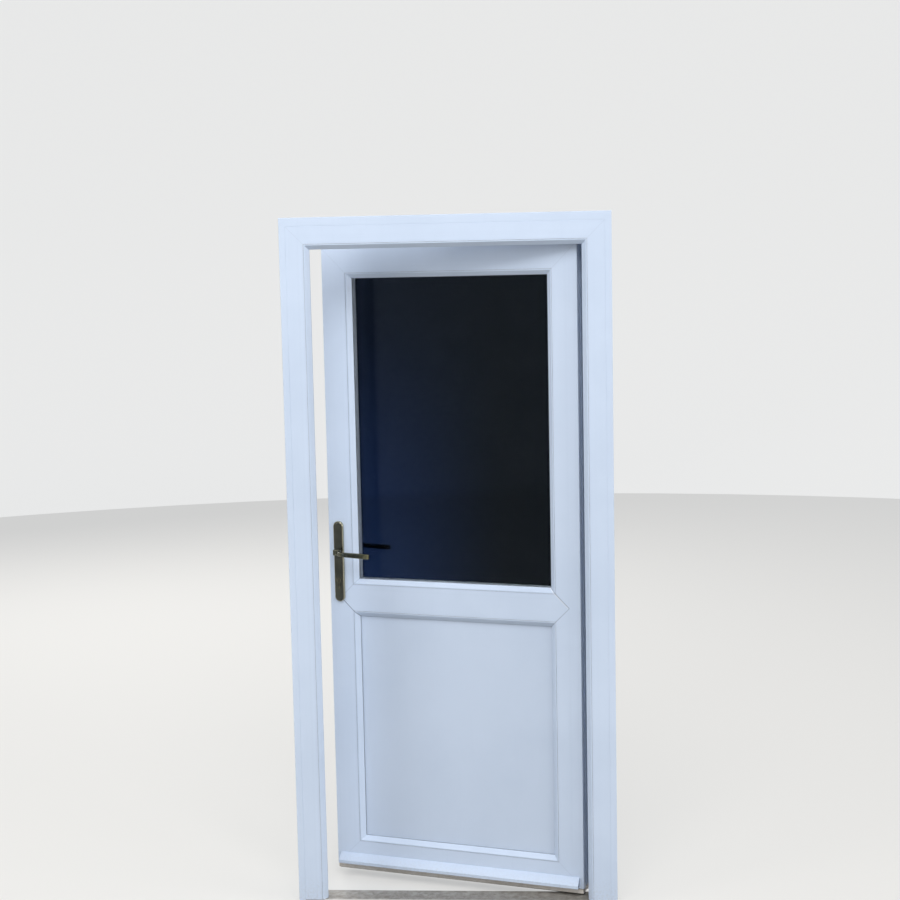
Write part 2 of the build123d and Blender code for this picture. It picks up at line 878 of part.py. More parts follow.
def bracket_screws(height):
    x = leaf_edge + flange_reach + bracket_gap + bracket_width - bracket_screw_inset
    reach = hinge_length / 2 - hinge_screw_inset
    return [screw((x, frame_depth + plate_thick, height + step), (0, -1, 0))
            for step in (-reach, reach)]


def hinge_flag(height):
    """The leaf's half: a plate on the leaf that rises to two knuckles."""
    half = hinge_length / 2
    edge = leaf_edge + flange_reach
    back = leaf_back + plate_thick
    flag = block(edge - flag_width, edge, leaf_back, back, height - half, height + half)
    rise = outline((edge - 2 * knuckle_radius, back), (pin_x, back), (pin_x, pin_v + knuckle_radius))
    for low, high in hinge_spans(height):
        flag += prism(rise, low, high) + knuckle(low, high)
    flag -= knuckle(height - half, height + half, bush_radius)
    return flag - flag_screws(height)


def flag_screws(height):
    x = leaf_edge + flange_reach - flag_width + flag_screw_inset
    reach = hinge_length / 2 - hinge_screw_inset
    return [screw((x, leaf_back + plate_thick, height + step), (0, -1, 0))
            for step in (-reach, reach)]


def hinge_pin(height):
    reach = hinge_length / 2 - cap_thick - pin_end_gap
    return knuckle(height - reach, height + reach, pin_radius)


def hinge_bushes(height):
    """Flanged bushes in the two leaf knuckles: the flanges carry the leaf on the middle one."""
    bushes = []
    bore = pin_radius + running_clearance
    spare = bush_flange + overcut
    for (low, high), end in zip(hinge_spans(height), (1, -1)):
        mouth = high if end == 1 else low
        flange = mouth + end * bush_flange
        tube = knuckle(low, high, bush_radius) + knuckle(min(mouth, flange), max(mouth, flange))
        bushes.append(tube - knuckle(low - spare, high + spare, bore))
    return bushes


def hinge_caps(height):
    """Caps that close the knuckles above and below the pin."""
    caps = []
    for end in (-1, 1):
        mouth = height + end * hinge_length / 2
        outer = mouth + end * cap_thick
        inner = mouth - end * cap_thick
        cap = knuckle(min(mouth, outer), max(mouth, outer))
        cap = chamfer(cap.edges().group_by(Axis.Z)[-1 if end == 1 else 0], cap_chamfer)
        caps.append(cap + knuckle(min(mouth, inner), max(mouth, inner), pin_radius))
    return caps


# Lock

def euro_section(clearance):
    """The lock cylinder's outline, with the middle of its round part at the origin."""
    radius = cylinder_radius + clearance
    half_stem = cylinder_stem / 2 + clearance
    foot = cylinder_radius - cylinder_total - clearance
    stem = rectangle(-half_stem, half_stem, foot, 0)
    corners = [(side * half_stem, foot, cylinder_foot_radius) for side in (-1, 1)]
    return rounded(stem, *corners) + Circle(radius)


def euro_prism(clearance, v_low, v_high):
    place = Plane((lock_x, outside + v_low, cylinder_height), x_dir=(-1, 0, 0), z_dir=(0, 1, 0))
    return place * extrude(euro_section(clearance), v_high - v_low, dir=(0, 0, 1))


def lock_block(u_low, u_high, thick, z_low, z_high):
    """A block in the lock stile, centred on the edge groove."""
    return block(-leaf_edge + u_low, -leaf_edge + u_high, groove_centre - thick / 2,
                 groove_centre + thick / 2, z_low, z_high)


def lock_case():
    """The closed case, with bores for the follower and cylinder and pockets for the bolts."""
    case = lock_block(case_front, case_back, case_thick, case_low, case_high)
    v_low = groove_centre - case_thick / 2 - overcut
    v_high = groove_centre + case_thick / 2 + overcut
    case -= rod(follower_radius, (lock_x, v_low, spindle_height), (lock_x, v_high, spindle_height))
    case -= euro_prism(cylinder_clearance, v_low, v_high)
    half_cam = cam_width / 2 + cam_side_clearance
    case -= rod(cam_reach + cam_end_clearance,
                (lock_x, groove_centre - half_cam, cylinder_height),
                (lock_x, groove_centre + half_cam, cylinder_height))
    case -= lock_block(0, latch_length + latch_throw + bolt_back_clearance,
                       latch_thick + 2 * slide_clearance,
                       latch_middle - latch_height / 2 - slide_clearance,
                       latch_middle + latch_height / 2 + slide_clearance)
    case -= lock_block(0, bolt_length + bolt_back_clearance, bolt_thick + 2 * slide_clearance,
                       bolt_middle - bolt_height / 2 - slide_clearance,
                       bolt_middle + bolt_height / 2 + slide_clearance)
    return case - faceplate_screws() - cylinder_screw()


def lock_faceplate():
    width = groove_width - 2 * seat_clearance
    plate = lock_block(0, groove_depth, width, faceplate_low, faceplate_high)
    front, back = -overcut, groove_depth + overcut
    plate -= lock_block(front, back, latch_thick + 2 * slide_clearance,
                        latch_middle - latch_height / 2 - slide_clearance,
                        latch_middle + latch_height / 2 + slide_clearance)
    plate -= lock_block(front, back, bolt_thick + 2 * slide_clearance,
                        bolt_middle - bolt_height / 2 - slide_clearance,
                        bolt_middle + bolt_height / 2 + slide_clearance)
    half_slot = rail_throw + locking_pin_radius + rail_end_clearance
    for height in locking_pin_heights:
        plate -= lock_block(front, back, 2 * locking_pin_radius + 2 * slide_clearance,
                            height - half_slot, height + half_slot)
    return plate - faceplate_screws() - cylinder_screw()


def faceplate_screws():
    heights = (faceplate_low + faceplate_screw_inset,
               (bolt_middle + latch_middle) / 2 - faceplate_screw_drop,
               faceplate_high - faceplate_screw_inset)
    return [screw((-leaf_edge, groove_centre, height), (1, 0, 0), faceplate_screw_length)
            for height in heights]


def cylinder_screw():
    place = (-leaf_edge, groove_centre, cylinder_height - cylinder_screw_drop)
    return screw(place, (1, 0, 0), lock_inset + cylinder_screw_past)


def follower():
    """The hub that the spindle turns."""
    half = case_thick / 2 - slide_clearance
    hub = rod(follower_radius - running_clearance, (lock_x, groove_centre - half, spindle_height),
              (lock_x, groove_centre + half, spindle_height))
    return hub - spindle_block(running_clearance, groove_centre - half - overcut,
                               groove_centre + half + overcut)


def latch_bolt():
    """The sprung latch, bevelled on the side that meets the keep first."""
    half = latch_thick / 2
    low, high = groove_centre - half, groove_centre + half
    tip = -leaf_edge - latch_throw
    shut = -leaf_edge + latch_length
    section = outline((shut, low), (-leaf_edge + latch_shoulder, low),
                      (tip, high - latch_tip_thick), (tip, high), (shut, high))
    return prism(section, latch_middle - latch_height / 2, latch_middle + latch_height / 2)


def deadbolt():
    bolt = lock_block(slide_clearance, bolt_length, bolt_thick, bolt_middle - bolt_height / 2,
                      bolt_middle + bolt_height / 2)
    return bolt


def drive_rail(low, high):
    start = groove_depth + slide_clearance
    return lock_block(start, start + rail_thick, rail_width, low, high)


def locking_pins():
    """The headed pins on the rails that lock behind the keeps' lips."""
    pins = []
    face = -leaf_edge
    head = face - locking_pin_reach
    root = face + groove_depth + slide_clearance
    for height in locking_pin_heights:
        stem = rod(locking_pin_radius, (root, groove_centre, height),
                   (head, groove_centre, height))
        pins.append(stem + rod(locking_head_radius, (head, groove_centre, height),
                               (head + locking_head_thick, groove_centre, height)))
    return pins


# Keeps

def keep_surface():
    return -jamb_line + body_reach


def centre_keep():
    """The raised keep for the latch and the deadbolt."""
    low = bolt_middle - bolt_height / 2 - keep_margin
    high = latch_middle + latch_height / 2 + keep_margin
    surface = keep_surface()
    half = keep_depth / 2
    keep = block(surface, surface + keep_height, groove_centre - half, groove_centre + half,
                 low, high)
    keep = chamfer(keep.edges().group_by(Axis.X)[-1], keep_chamfer)
    half_thick = latch_thick / 2 + keep_clearance
    half_height = latch_height / 2 + keep_clearance
    keep -= block(surface - overcut, surface + keep_height + overcut,
                  groove_centre - half_thick, groove_centre + half_thick,
                  latch_middle - half_height, latch_middle + half_height)
    keep -= bolt_pocket(0)
    return keep - centre_keep_screws()


def centre_keep_screws():
    heights = (bolt_middle - bolt_height / 2 - keep_margin / 2,
               latch_middle + latch_height / 2 + keep_margin / 2)
    x = keep_surface() + keep_height
    return [screw((x, groove_centre, height), (-1, 0, 0)) for height in heights]


def pin_keep(height):
    """A keep with a lip that the locking pin slides behind when it rises."""
    surface = keep_surface()
    front = groove_centre - locking_head_radius - keep_front
    back = groove_centre + locking_head_radius + pin_keep_clearance + keep_lip
    low = height - rail_throw - locking_head_radius - keep_margin
    high = height + keep_lip_start + keep_lip_length + keep_margin
    keep = block(surface, surface + keep_base, front, back, low, high)
    keep += block(surface, surface + keep_lip_height, back - keep_lip, back,
                  height + keep_lip_start, height + keep_lip_start + keep_lip_length)
    return keep - pin_keep_screws(height)


def pin_keep_screws(height):
    x = keep_surface() + keep_base
    heights = (height - rail_throw - locking_head_radius - keep_margin / 2,
               height + keep_lip_start + keep_lip_length + keep_margin / 2)
    return [screw((x, groove_centre, place), (-1, 0, 0)) for place in heights]


# Handles and cylinder

def mirrored(shape):
    """The same piece on the inside of the leaf."""
    middle = Plane((0, outside + leaf_front + leaf_depth / 2, 0), z_dir=(0, 1, 0))
    return mirror(shape, about=middle)


def spindle_block(clearance, v_low, v_high):
    half = spindle_size / 2 + clearance
    return block(lock_x - half, lock_x + half, v_low, v_high, spindle_height - half,
                 spindle_height + half)


def spindle():
    reach = hub_front - spindle_inset
    return spindle_block(0, leaf_front - reach, leaf_back + reach)


def backplate():
    """The outside backplate: a long plate with round ends and softened edges."""
    place = Plane((lock_x, outside + leaf_front, handle_middle), x_dir=(0, 0, 1),
                  z_dir=(0, -1, 0))
    plate = extrude(SlotOverall(handle_length, handle_width), handle_thick)
    plate = fillet(plate.faces().sort_by(Axis.Z)[-1].edges(), handle_edge)
    plate = place * plate
    plate -= rod(hub_radius + running_clearance, (lock_x, 0, spindle_height),
                 (lock_x, leaf_front + overcut, spindle_height))
    return plate - euro_prism(cylinder_clearance, 0, leaf_front + overcut)


def outside_backplate():
    """The outside plate carries threaded posts that the inside plate's screws reach."""
    plate = backplate()
    for height in handle_screws:
        post = rod(post_radius, (lock_x, leaf_front - post_root, height),
                   (lock_x, leaf_front + post_length, height))
        plate += post
    return plate - handle_screw_set()


def inside_backplate():
    return mirrored(backplate()) - handle_screw_set()


def handle_screw_set():
    start = leaf_back + handle_thick
    length = start - leaf_front - handle_screw_gap
    return [screw((lock_x, start, height), (0, -1, 0), length) for height in handle_screws]


def lever():
    """The outside lever: a block on the spindle, a neck that turns out, and a straight grip."""
    half_width = hub_width / 2
    front = leaf_front - hub_front
    plate_face = leaf_front - handle_thick
    hub = block(lock_x - half_width, lock_x + half_width, front, plate_face - hub_gap,
                spindle_height - hub_height / 2, spindle_height + hub_height / 2)
    hub = fillet(hub.edges().filter_by(Axis.Y), hub_corner)
    hub = fillet(hub.faces().sort_by(Axis.Y)[0].edges(), hub_edge)
    neck_start = front + lever_thick / 2 + neck_inset
    grip = leaf_front - lever_stand_off
    path = FilletPolyline((lock_x + neck_offset, outside + neck_start, spindle_height),
                          (lock_x + hub_width, outside + grip, spindle_height),
                          (lock_x + lever_length, outside + grip, spindle_height - lever_droop),
                          radius=lever_bend_radius)
    start = Plane(path @ 0, x_dir=(0, 0, 1), z_dir=path % 0)
    end = Plane(path @ 1, x_dir=(0, 0, 1), z_dir=path % 1)
    root = start * RectangleRounded(lever_height, lever_thick, lever_corner)
    tip = end * RectangleRounded(lever_tip_height, lever_tip_thick, lever_corner)
    arm = sweep([root, tip], path, multisection=True)
    arm = fillet(arm.faces().sort_by(Axis.X)[-1].edges(), lever_tip_radius)
    body = hub + arm
    body += rod(hub_radius, (lock_x, plate_face - overcut, spindle_height),
                (lock_x, leaf_front + overcut, spindle_height))
    return body - spindle_block(running_clearance, front + spindle_socket_inset, leaf_back)


def cylinder_span():
    return (leaf_front - handle_thick - cylinder_proud, leaf_back + handle_thick + cylinder_proud)


def cylinder_body():
    """The lock cylinder's body, gapped in the middle where the cam turns."""
    low, high = cylinder_span()
    body = euro_prism(0, low, high)
    half_cam = cam_width / 2 + slide_clearance
    body -= rod(cam_reach + cam_end_clearance,
                (lock_x, groove_centre - half_cam, cylinder_height),
                (lock_x, groove_centre + half_cam, cylinder_height))
    bore = plug_radius + running_clearance
    body -= rod(bore, (lock_x, low - overcut, cylinder_height),
                (lock_x, high + overcut, cylinder_height))
    return body - cylinder_screw()


def plug(v_low, v_high, face):
    """A plug with the keyway cut in its outer end."""
    body = rod(plug_radius, (lock_x, v_low, cylinder_height), (lock_x, v_high, cylinder_height))
    half_width = keyway_width / 2
    half_height = keyway_height / 2
    keyway = block(lock_x - half_width, lock_x + half_width, face - keyway_depth,
                   face + keyway_depth, cylinder_height - half_height,
                   cylinder_height + half_height)
    return body - keyway


def cam():
    half = cam_width / 2
    ring = rod(cylinder_radius, (lock_x, groove_centre - half, cylinder_height),
               (lock_x, groove_centre + half, cylinder_height))
    half_nose = cam_thick / 2
    nose = block(lock_x - half_nose, lock_x + half_nose, groove_centre - half,
                 groove_centre + half, cylinder_height, cylinder_height + cam_reach)
    return ring + nose


# The whole door

def frame_pieces():
    threshold_set = threshold_screws()
    brackets = [hinge_bracket(height) for height in hinge_heights]
    bracket_set = [piece for height in hinge_heights for piece in bracket_screws(height)]
    lower_pin, upper_pin = locking_pin_heights
    keep_set = centre_keep_screws() + pin_keep_screws(lower_pin) + pin_keep_screws(upper_pin)
    pieces = {
        "outer_frame": outer_frame() - threshold_set - bracket_set - keep_set,
        "left_frame_strip": strip("left"),
        "right_frame_strip": strip("right"),
        "head_frame_strip": strip("top"),
        "frame_steels": [frame_steel("left") - keep_set, frame_steel("right") - bracket_set,
                         frame_steel("top")],
        "frame_seal": frame_seal(),
        "threshold": threshold() - threshold_set,
        "threshold_screws": threshold_set,
        "centre_keep": centre_keep(),
        "pin_keeps": [pin_keep(lower_pin), pin_keep(upper_pin)],
        "keep_screws": keep_set,
        "bracket_screws": bracket_set,
        "hinge_pins": [hinge_pin(height) for height in hinge_heights],
    }
    for name, bracket in zip(("lower", "middle", "upper"), brackets):
        pieces[f"{name}_hinge_bracket"] = bracket
    return pieces


def leaf_pieces():
    flag_set = [piece for height in hinge_heights for piece in flag_screws(height)]
    plate_set = faceplate_screws()
    pieces = {
        "leaf_frame": leaf_frame() - flag_set - plate_set,
        "stile_steels": [leaf_steel("left") - plate_set, leaf_steel("right") - flag_set],
        "rail_steels": [leaf_steel("top"), leaf_steel("bottom"), mid_rail_steel()],
        "leaf_seal": leaf_seal(),
        "foot_strip": foot_strip(),
        "sweep_seals": sweep_seals(),
        "weather_bar": weather_bar(),
        "outer_pane": sheet(glass_low, glass_high, glass_front, glass_front + pane_thick),
        "inner_pane": sheet(glass_low, glass_high, glass_back - pane_thick, glass_back),
        "spacer_bar": spacer_bar(),
        "unit_sealant": unit_sealant(),
        "infill_panel": sheet(panel_low, panel_high, glass_front, glass_back),
        "glass_seal": glazing_seal_ring(glass_low, glass_high),
        "panel_seal": glazing_seal_ring(panel_low, panel_high),
        "glass_beads": beads(glass_low, glass_high),
        "panel_beads": beads(panel_low, panel_high),
        "glazing_packers": packers(glass_low, glass_high) + packers(panel_low, panel_high),
        "flag_screws": flag_set,
        "hinge_bushes": [bush for height in hinge_heights for bush in hinge_bushes(height)],
        "hinge_caps": [cap for height in hinge_heights for cap in hinge_caps(height)],
        "lock_faceplate": lock_faceplate(),
        "lock_case": lock_case(),
        "faceplate_screws": plate_set + [cylinder_screw()],
        "cylinder_body": cylinder_body(),
        "outside_backplate": outside_backplate(),
        "inside_backplate": inside_backplate(),
        "handle_screws": handle_screw_set(),
    }
    for name, height in zip(("lower", "middle", "upper"), hinge_heights):
        pieces[f"{name}_hinge_flag"] = hinge_flag(height)
    return pieces


def moving_pieces():
    """What moves in the leaf: handles, rails, latch, deadbolt and the cylinder's inside."""
    low, high = cylinder_span()
    half_cam = cam_width / 2
    rail_low = faceplate_low + rail_end_gap
    rail_high = faceplate_high - rail_end_gap
    return {
        "outside_lever": lever(),
        "inside_lever": mirrored(lever()),
        "spindle": spindle(),
        "follower": follower(),
        "lower_drive_rail": drive_rail(rail_low, case_low - rail_throw),
        "upper_drive_rail": drive_rail(case_high + rail_throw, rail_high),
        "locking_pins": locking_pins(),
        "latch_bolt": latch_bolt(),
        "deadbolt": deadbolt(),
        "outside_plug": plug(low, groove_centre - half_cam, low),
        "inside_plug": plug(groove_centre + half_cam, high, high),
        "cam": cam(),
    }


def write(name, shape, swung):
    """Write one node; what hangs on the leaf is swung about the hinge pins first."""
    solids = shape if isinstance(shape, list) else [shape]
    whole = Compound(children=[solid for piece in solids for solid in piece.solids()])
    if swung:
        whole = whole.rotate(hinge_axis, -open_angle)
    export_step(whole, f"parts/{name}.step")


def main():
    os.makedirs("parts", exist_ok=True)
    for name, shape in frame_pieces().items():
        write(name, shape, False)
    for name, shape in (leaf_pieces() | moving_pieces()).items():
        write(name, shape, True)


main()
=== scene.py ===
"""A half glazed white door, ajar in its outer frame, dressed for a plain studio picture.

All sizes are in metres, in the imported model's own frame: X to the right seen from outside,
Y inwards and Z up, with the origin in the middle of the threshold's underside.
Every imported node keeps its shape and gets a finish; the only new pieces are the floor and wall.
"""
import json
import math

import bpy
import numpy as np
from mathutils import Matrix, Vector

# Camera, placed so that the door's edges fall where the photograph has them
camera_place = (0.3005, -4.318, 1.7733)
camera_yaw = math.radians(-3.95)
camera_pitch = math.radians(-6.238)
camera_roll = math.radians(-1.171)
camera_focal_pixels = 1570.9
camera_reach = 60.0
picture_pixels = 900
sensor_width = 36.0

# Sizes of the leaf and its frame that the finishes follow, with the leaf as if it were shut
open_angle = math.radians(15.5)
hinge_pin = (0.4075, 0.073)
leaf_half_width = 0.3795
leaf_top = 1.867
leaf_foot = 0.038
mid_rail_height = 0.848
arrow_tip = 0.033
jamb_line = 0.4345
frame_top = 1.922
strip_mitre = 0.001
glass_low = 0.903
glass_high = 1.779
glass_half_width = 0.2915

# The handle's backplate and lever
cylinder_x = -0.3475
cylinder_z = 0.899
plate_middle = 0.955
plate_half_run = 0.104
rim_fall = (0.0085, 0.0135)
# Band of the painted highlight round the plate's rim
rim_highlight = (0.0122, 0.0142)
keyhole_scratched = (0.009, 0.03)
lever_tip = -0.2335
grip_rubbed = (lever_tip - 0.045, lever_tip - 0.008)

# Sizes of the marks on the white plastic
hair = 0.0001
die_line_gap = 0.011
die_line_height = 0.00025
weld_line = 0.0009
arrow_line = 1.8 * weld_line
# Width and offset of the painted highlight beside the mid rail's welds
lit_line = 2.0 * weld_line
lit_offset = 3.5 * weld_line
arrow_change = 0.002
side_change = (0.0, 0.1)
patch_size = 0.35
run_width = 0.018
run_squeeze = 0.06
speck_size = 0.006
# Reach of the dust with painted shade in the corners, and of the painted shade in fine creases
dust_and_shade_corner = 0.012
crease_shade = 0.0022
splash_height = (0.02, 0.1)
# Band of the painted shadow under the weather bar, at the top of the foot strip
strip_top_shadow = (0.033, 0.037)

# How strongly those marks are painted, from 0 for not at all to 1 for solid
die_line_tone = 0.12
leaf_mitre_tone = 0.14
frame_mitre_tone = 0.12
patch_tone = 0.4
run_tone = 0.14
# Strengths of the dust with painted shade in the corners, and of the painted shade in fine
# creases
dust_and_shade_tones = (0.2, 0.45)
crease_shade_tone = 0.35
splash_tone = 0.35

# The same for the welds at the mid rail's points, below and above its middle line, and for the
# painted highlight beside them
arrow_at_lock = (1.0, 0.3)
arrow_at_hinge = (0.5, 0.8)
arrow_lit_at_hinge = (0.0, 0.8)

# Relief of fine grain: height in metres, and strength
metal_grain = (0.00003, 0.3)
plastic_grain = (0.00002, 0.25)
plastic_waves = (0.0006, 0.3)
rubber_grain = (0.00005, 0.4)
rim_height = 0.0018

# The threshold's front top edge, painted lighter
pale_edge_depth = (-0.034, -0.028)
pale_edge_height = (0.012, 0.016)

# Studio sizes, lamps and how bright the surroundings are seen
floor_reach = 8.5
floor_bend = 2.5
wall_top = 14.0
circle_steps = 96
bend_steps = 24
floor_glow = 0.45
wall_glow = 0.63
world_light = 0.45
world_seen = 0.92
lamps = {  # place, target, width and height, watts
    "sky_box": ((0.2, -4.6, 5.9), (0.0, 0.1, 0.8), (4.4, 3.0), 235),
    "side_box": ((6.2, -3.8, 3.0), (0.0, 0.0, 0.9), (4.4, 4.0), 180),
    "fill_box": ((-3.4, -2.2, 2.2), (0.0, 0.0, 0.8), (1.6, 2.6), 32),
    "back_box": ((-2.6, 4.8, 4.0), (0.0, 0.2, 1.0), (3.2, 2.6), 150),
}


def shade(red, green, blue):
    """A screen colour from 0 to 255, as the linear colour that a shader takes."""
    channels = np.array([red, green, blue]) / 255.0
    curved = ((channels + 0.055) / 1.055) ** 2.4
    return (*np.where(channels <= 0.04045, channels / 12.92, curved).tolist(), 1.0)


def darker(colour, part):
    """The same colour with each channel at a part of its value."""
    return tuple(channel * part for channel in colour[:3]) + (1.0,)


white_clean = shade(208, 222, 242)
white_dull = shade(190, 205, 226)
# Painted highlight beside the mid rail's welds
weld_highlight = shade(236, 243, 252)
white_weld = shade(108, 121, 143)
# Dirt grey, also used for painted shade in corners and creases and for the painted shadow under
# the weather bar
grime_and_shade = shade(104, 99, 90)
foot_dirt = shade(172, 165, 156)
strip_white = shade(232, 230, 228)
strip_splash = shade(212, 204, 194)
rubber_bloom = shade(120, 122, 124)
plate_brass = shade(77, 78, 71)
plate_brown = shade(58, 59, 55)
plate_scratch = shade(170, 160, 120)
# Painted highlight on the plate's rim
plate_rim_highlight = shade(186, 181, 158)
lever_brass = shade(92, 92, 78)
lever_brown = shade(64, 65, 58)
lever_streak = shade(150, 148, 132)
lever_grip = shade(140, 136, 98)
dusty_aluminium = shade(170, 166, 160)
settled_dust = shade(132, 127, 119)
dirt_speck = shade(92, 80, 66)
# Lighter paint along the threshold's front top edge
pale_edge_aluminium = shade(214, 212, 210)
backdrop_paint = shade(164, 161, 155)
backdrop_glow = (0.96, 0.98, 1.0, 1.0)
sky_colour = (0.97, 0.98, 1.0, 1.0)
clear_pane = (0.9, 0.94, 0.97, 1.0)
clear_gloss = (0.09, 0.11, 0.14, 1.0)
# The inner pane's painted shade, standing in for the dark room behind it, and its painted blue
# reflection
room_shade_pane = (0.0042, 0.0052, 0.0062, 1.0)
reflection_blue = (0.009, 0.02, 0.062, 1.0)
dark_gloss = (0.03, 0.04, 0.06, 1.0)
glass_index = 1.45


# Nodes

class Nodes:
    """A node tree, with short calls for the nodes that the finishes and the studio use."""

    def __init__(self, tree):
        self.tree = tree

    def add(self, kind, **settings):
        node = self.tree.nodes.new("ShaderNode" + kind)
        for key, value in settings.items():
            setattr(node, key, value)
        return node

    def join(self, source, target):
        """Lead an output to a socket, or write a plain number or colour on the socket."""
        if isinstance(source, (int, float, tuple)):
            target.default_value = source
        else:
            self.tree.links.new(source, target)

    def math(self, operation, first, second=0.0):
        node = self.add("Math", operation=operation)
        self.join(first, node.inputs[0])
        self.join(second, node.inputs[1])
        return node.outputs[0]

    def plus(self, first, second):
        return self.math("ADD", first, second)

    def minus(self, first, second):
        return self.math("SUBTRACT", first, second)

    def times(self, first, second):
        return self.math("MULTIPLY", first, second)

    def larger(self, first, second):
        return self.math("MAXIMUM", first, second)

    def size(self, value):
        return self.math("ABSOLUTE", value)

    def slant(self, first, second):
        """The square root of the sum of two squares: a distance from its two parts."""
        squares = self.plus(self.times(first, first), self.times(second, second))
        return self.math("SQRT", squares)

    def ramp(self, value, low, high, start=0.0, end=1.0):
        """Start below low, end above high and a smooth change between."""
        node = self.add("MapRange", interpolation_type="SMOOTHSTEP")
        limits = {"From Min": low, "From Max": high, "To Min": start, "To Max": end}
        for key, number in limits.items():
            node.inputs[key].default_value = number
        self.join(value, node.inputs["Value"])
        return node.outputs["Result"]


class Finish(Nodes):
    """A material being built up in layers: a ground colour, paint over it, and relief."""

    def __init__(self, name, ground):
        self.material = bpy.data.materials.new(name)
        self.material.use_nodes = True
        super().__init__(self.material.node_tree)
        self.shader = self.tree.nodes["Principled BSDF"]
        self.colour = ground
        self.relief = None

    def place(self, move=(0, 0, 0), turn=0.0, scale=(1, 1, 1)):
        """Object coordinates, turned about Z, moved and scaled."""
        mapping = self.add("Mapping", vector_type="POINT")
        mapping.inputs["Location"].default_value = move
        mapping.inputs["Rotation"].default_value = (0, 0, turn)
        mapping.inputs["Scale"].default_value = scale
        self.join(self.add("TexCoord").outputs["Object"], mapping.inputs["Vector"])
        return mapping.outputs["Vector"]

    def split(self, vector):
        """The X, Y and Z of a place."""
        node = self.add("SeparateXYZ")
        self.join(vector, node.inputs[0])
        return node.outputs

    def noise(self, vector, size, detail=4.0, rough=0.55):
        """Noise whose patches are about size metres across."""
        node = self.add("TexNoise")
        node.inputs["Scale"].default_value = 1.0 / size
        node.inputs["Detail"].default_value = detail
        node.inputs["Roughness"].default_value = rough
        self.join(vector, node.inputs["Vector"])
        return node.outputs["Fac"]

    def line(self, distance, half_width):
        """1 on a line and 0 away from it, from the distance to the line."""
        return self.ramp(self.size(distance), half_width * 0.4, half_width, 1.0, 0.0)

    def corners(self, reach, open_to=0.8):
        """1 deep in the corners and 0 on open faces."""
        node = self.add("AmbientOcclusion", samples=6, only_local=True)
        node.inputs["Distance"].default_value = reach
        return self.ramp(node.outputs["AO"], 0.25, open_to, 1.0, 0.0)

    def paint(self, mask, colour):
        """Lay a colour over what is there, as strong as the mask."""
        node = self.add("Mix", data_type="RGBA")
        self.join(mask, node.inputs["Factor"])
        self.join(self.colour, node.inputs["A"])
        self.join(colour, node.inputs["B"])
        self.colour = node.outputs["Result"]

    def mottle(self, noise, low, high, strength, colour):
        """Paint where a noise is high: nothing below low, and the full strength above high."""
        self.paint(self.ramp(noise, low, high, 0.0, strength), colour)

    def emboss(self, height, distance, strength=1.0):
        """Lay a relief over what is there, from a height of 0 to 1 and its distance in metres."""
        node = self.add("Bump")
        node.inputs["Strength"].default_value = strength
        node.inputs["Distance"].default_value = distance
        self.join(height, node.inputs["Height"])
        if self.relief is not None:
            self.join(self.relief, node.inputs["Normal"])
        self.relief = node.outputs["Normal"]

    def grain(self, vector, size, height, strength, detail=2.0):
        """Relief of bumps about size metres across."""
        self.emboss(self.noise(vector, size, detail), height, strength)

    def uneven(self, vector, size, low, high):
        """A roughness that wanders between two values."""
        return self.ramp(self.noise(vector, size), 0.3, 0.7, low, high)

    def done(self, roughness, **constants):
        """Join the layers to the shader and write the numbers that are the same all over."""
        self.join(self.colour, self.shader.inputs["Base Color"])
        self.join(roughness, self.shader.inputs["Roughness"])
        if self.relief is not None:
            self.join(self.relief, self.shader.inputs["Normal"])
        for key, value in constants.items():
            self.shader.inputs[key.replace("_", " ")].default_value = value
        return self.material


# White plastic

def leaf_place(finish):
    """The leaf's own coordinates, as if it were shut: X across, Z up."""
    pin_x, pin_y = hinge_pin
    turned_x = pin_x * math.cos(open_angle) - pin_y * math.sin(open_angle)
    turned_y = pin_x * math.sin(open_angle) + pin_y * math.cos(open_angle)
    return finish.place((pin_x - turned_x, pin_y - turned_y, 0.0), open_angle)


def draw_lines(finish, vector, upright):
    """The faint lines that a die leaves along a profile: up the stiles, across the rails."""
    x, y, z = finish.split(vector)
    level = finish.minus(1.0, upright)
    across = finish.plus(finish.times(x, upright), finish.times(z, level))
    section = finish.add("CombineXYZ")
    finish.join(across, section.inputs[0])
    finish.join(y, section.inputs[1])
    bands = finish.noise(section.outputs[0], die_line_gap, 2.0, 0.4)
    finish.emboss(bands, die_line_height, 0.5)
    finish.mottle(bands, 0.5, 0.75, die_line_tone, white_dull)


